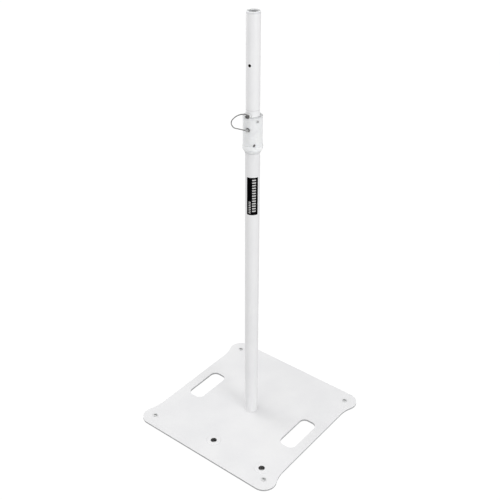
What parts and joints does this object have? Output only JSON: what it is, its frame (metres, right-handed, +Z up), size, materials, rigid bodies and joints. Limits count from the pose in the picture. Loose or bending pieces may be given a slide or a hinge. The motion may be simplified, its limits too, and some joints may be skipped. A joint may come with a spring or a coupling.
{
  "type": "speaker pole stand",
  "caption": "Free-standing telescopic pole stand for a loudspeaker, with a square steel base plate, hand slots, spare pole sockets, a collar and a spring-wire locking pin.",
  "frame": {"origin": "on the floor, in the middle of the base plate, which is also on the pole's axis", "axes": "+Z up along the pole; the hand slots lie at -X and +X; the spare pole sockets are towards -Y, the front"},
  "size_m": [0.48, 0.48, 1.2075],
  "materials": {
    "powder_coat": "white powder coat with a fine orange peel, on steel",
    "white_nylon": "satin moulded white nylon",
    "grey_nylon": "matt moulded grey nylon",
    "black_steel": "black oxide on steel",
    "zinc_steel": "turned steel, bright zinc plated",
    "spring_steel": "drawn spring-steel wire",
    "label_film": null,
    "rubber": "matt black rubber"
  },
  "bodies": {
    "stand": {"base_plate": "powder_coat", "pole_socket_centre": "powder_coat", "pole_socket_front": "powder_coat", "pole_socket_corner": "powder_coat", "socket_welds": "powder_coat", "rubber_foot_front_left": "rubber", "rubber_foot_front_right": "rubber", "rubber_foot_back_left": "rubber", "rubber_foot_back_right": "rubber", "foot_screw_front_left": "zinc_steel", "foot_screw_front_right": "zinc_steel", "foot_screw_back_left": "zinc_steel", "foot_screw_back_right": "zinc_steel", "foot_washers": "zinc_steel", "foot_nuts": "zinc_steel", "outer_pole": "powder_coat", "pole_foot_plug": "powder_coat", "pole_stud": "zinc_steel", "pole_label": "label_film", "collar": "white_nylon", "collar_bush": "white_nylon", "pin_sleeve": "black_steel", "collar_inserts": "black_steel", "grub_screws": "black_steel", "collar_rivet": "zinc_steel", "wire_anchor_screw": "black_steel"},
    "guide": {"guide_ring": "grey_nylon"},
    "pole": {"inner_pole": "powder_coat", "pole_top_ring": "white_nylon", "inner_pole_plug": "grey_nylon", "plug_rivets": "zinc_steel"},
    "pin": {"locking_pin": "zinc_steel", "pin_wire": "spring_steel"}
  },
  "joints": [
    {"name": "pole_slide", "type": "slide", "parent": "stand", "child": "guide", "axis": [0, 0, 1], "range_m": [-0.158, 0.474]},
    {"name": "pole_swivel", "type": "hinge", "parent": "guide", "child": "pole", "pos_m": [0, 0, 0.38], "axis": [0, 0, 1], "range_deg": [-180, 180]},
    {"name": "pin_slide", "type": "slide", "parent": "stand", "child": "pin", "axis": [0.1564, -0.9877, 0], "range_m": [-0.0021, 0.006], "deforming": ["pin_wire"]}
  ]
}
